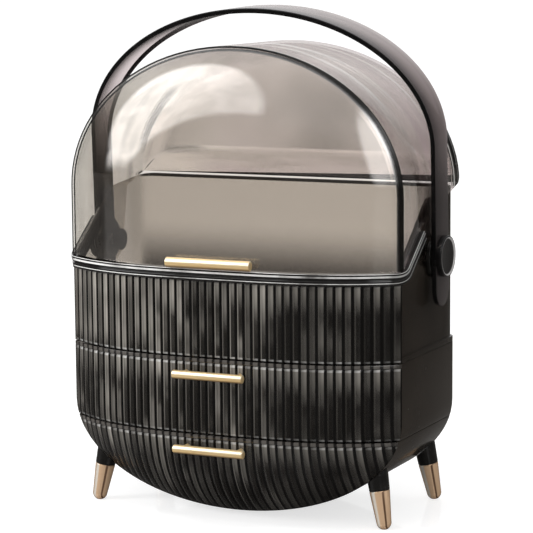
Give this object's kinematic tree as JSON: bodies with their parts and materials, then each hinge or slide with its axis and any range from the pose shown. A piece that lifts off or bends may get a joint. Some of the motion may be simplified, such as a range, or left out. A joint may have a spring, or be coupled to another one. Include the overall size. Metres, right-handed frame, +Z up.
{
  "type": "dustproof makeup organizer",
  "caption": "Countertop makeup organizer with a clear visor lid over a display case, two ribbed drawers with bar pulls, a carrying handle and splayed feet.",
  "frame": {"origin": "middle of the footprint, on the table that the feet stand on", "axes": "+Z up, +X to the right of someone who faces the drawers, -Y out of the drawer fronts"},
  "size_m": [0.3172, 0.1938, 0.4077],
  "materials": {
    "smoke_casing": "glossy smoke-brown plastic, nearly opaque",
    "smoke_ribs": "glossy smoke plastic with upright reeds, translucent",
    "smoke_bin": "glossy smoke plastic, translucent",
    "smoke_lid": "clear plastic with a light smoke tint",
    "smoke_handle": "glossy dark smoke plastic, slightly translucent",
    "black_plastic": "glossy black plastic",
    "gold_satin": "satin gold-coloured metal",
    "rose_gold": "polished rose-gold metal",
    "steel": "plain steel"
  },
  "bodies": {
    "case": {"lower_housing": "smoke_casing", "middle_housing": "smoke_casing", "display_case": "smoke_casing", "display_front": "smoke_ribs", "pivot_nut_left": "black_plastic", "pivot_cap_left": "black_plastic", "pivot_washer_left": "black_plastic", "pivot_pin_left": "steel", "pivot_nut_right": "black_plastic", "pivot_cap_right": "black_plastic", "pivot_washer_right": "black_plastic", "pivot_pin_right": "steel", "foot_collar_front_left": "black_plastic", "foot_tip_front_left": "rose_gold", "foot_collar_front_right": "black_plastic", "foot_tip_front_right": "rose_gold", "foot_collar_rear_left": "black_plastic", "foot_tip_rear_left": "rose_gold", "foot_collar_rear_right": "black_plastic", "foot_tip_rear_right": "rose_gold"},
    "lid": {"lid_shell": "smoke_lid", "lid_pull_bar": "gold_satin", "lid_pull_screw_left": "steel", "lid_pull_screw_right": "steel"},
    "handle": {"carry_handle": "smoke_handle"},
    "middle_drawer": {"middle_drawer_bin": "smoke_bin", "middle_drawer_front": "smoke_ribs", "middle_pull_bar": "gold_satin", "middle_pull_screw_left": "steel", "middle_pull_screw_right": "steel"},
    "lower_drawer": {"lower_drawer_bin": "smoke_bin", "lower_drawer_front": "smoke_ribs", "lower_pull_bar": "gold_satin", "lower_pull_screw_left": "steel", "lower_pull_screw_right": "steel"}
  },
  "joints": [
    {"name": "lid_hinge", "type": "hinge", "parent": "case", "child": "lid", "pos_m": [0, 0.0184, 0.2105], "axis": [-1, 0, 0], "range_deg": [0, 85]},
    {"name": "handle_swing", "type": "hinge", "parent": "case", "child": "handle", "pos_m": [0, 0.0184, 0.2105], "axis": [1, 0, 0], "range_deg": [-92, 88]},
    {"name": "middle_drawer_slide", "type": "slide", "parent": "case", "child": "middle_drawer", "axis": [0, -1, 0], "range_m": [0, 0.085]},
    {"name": "lower_drawer_slide", "type": "slide", "parent": "case", "child": "lower_drawer", "axis": [0, -1, 0], "range_m": [0, 0.085]}
  ]
}
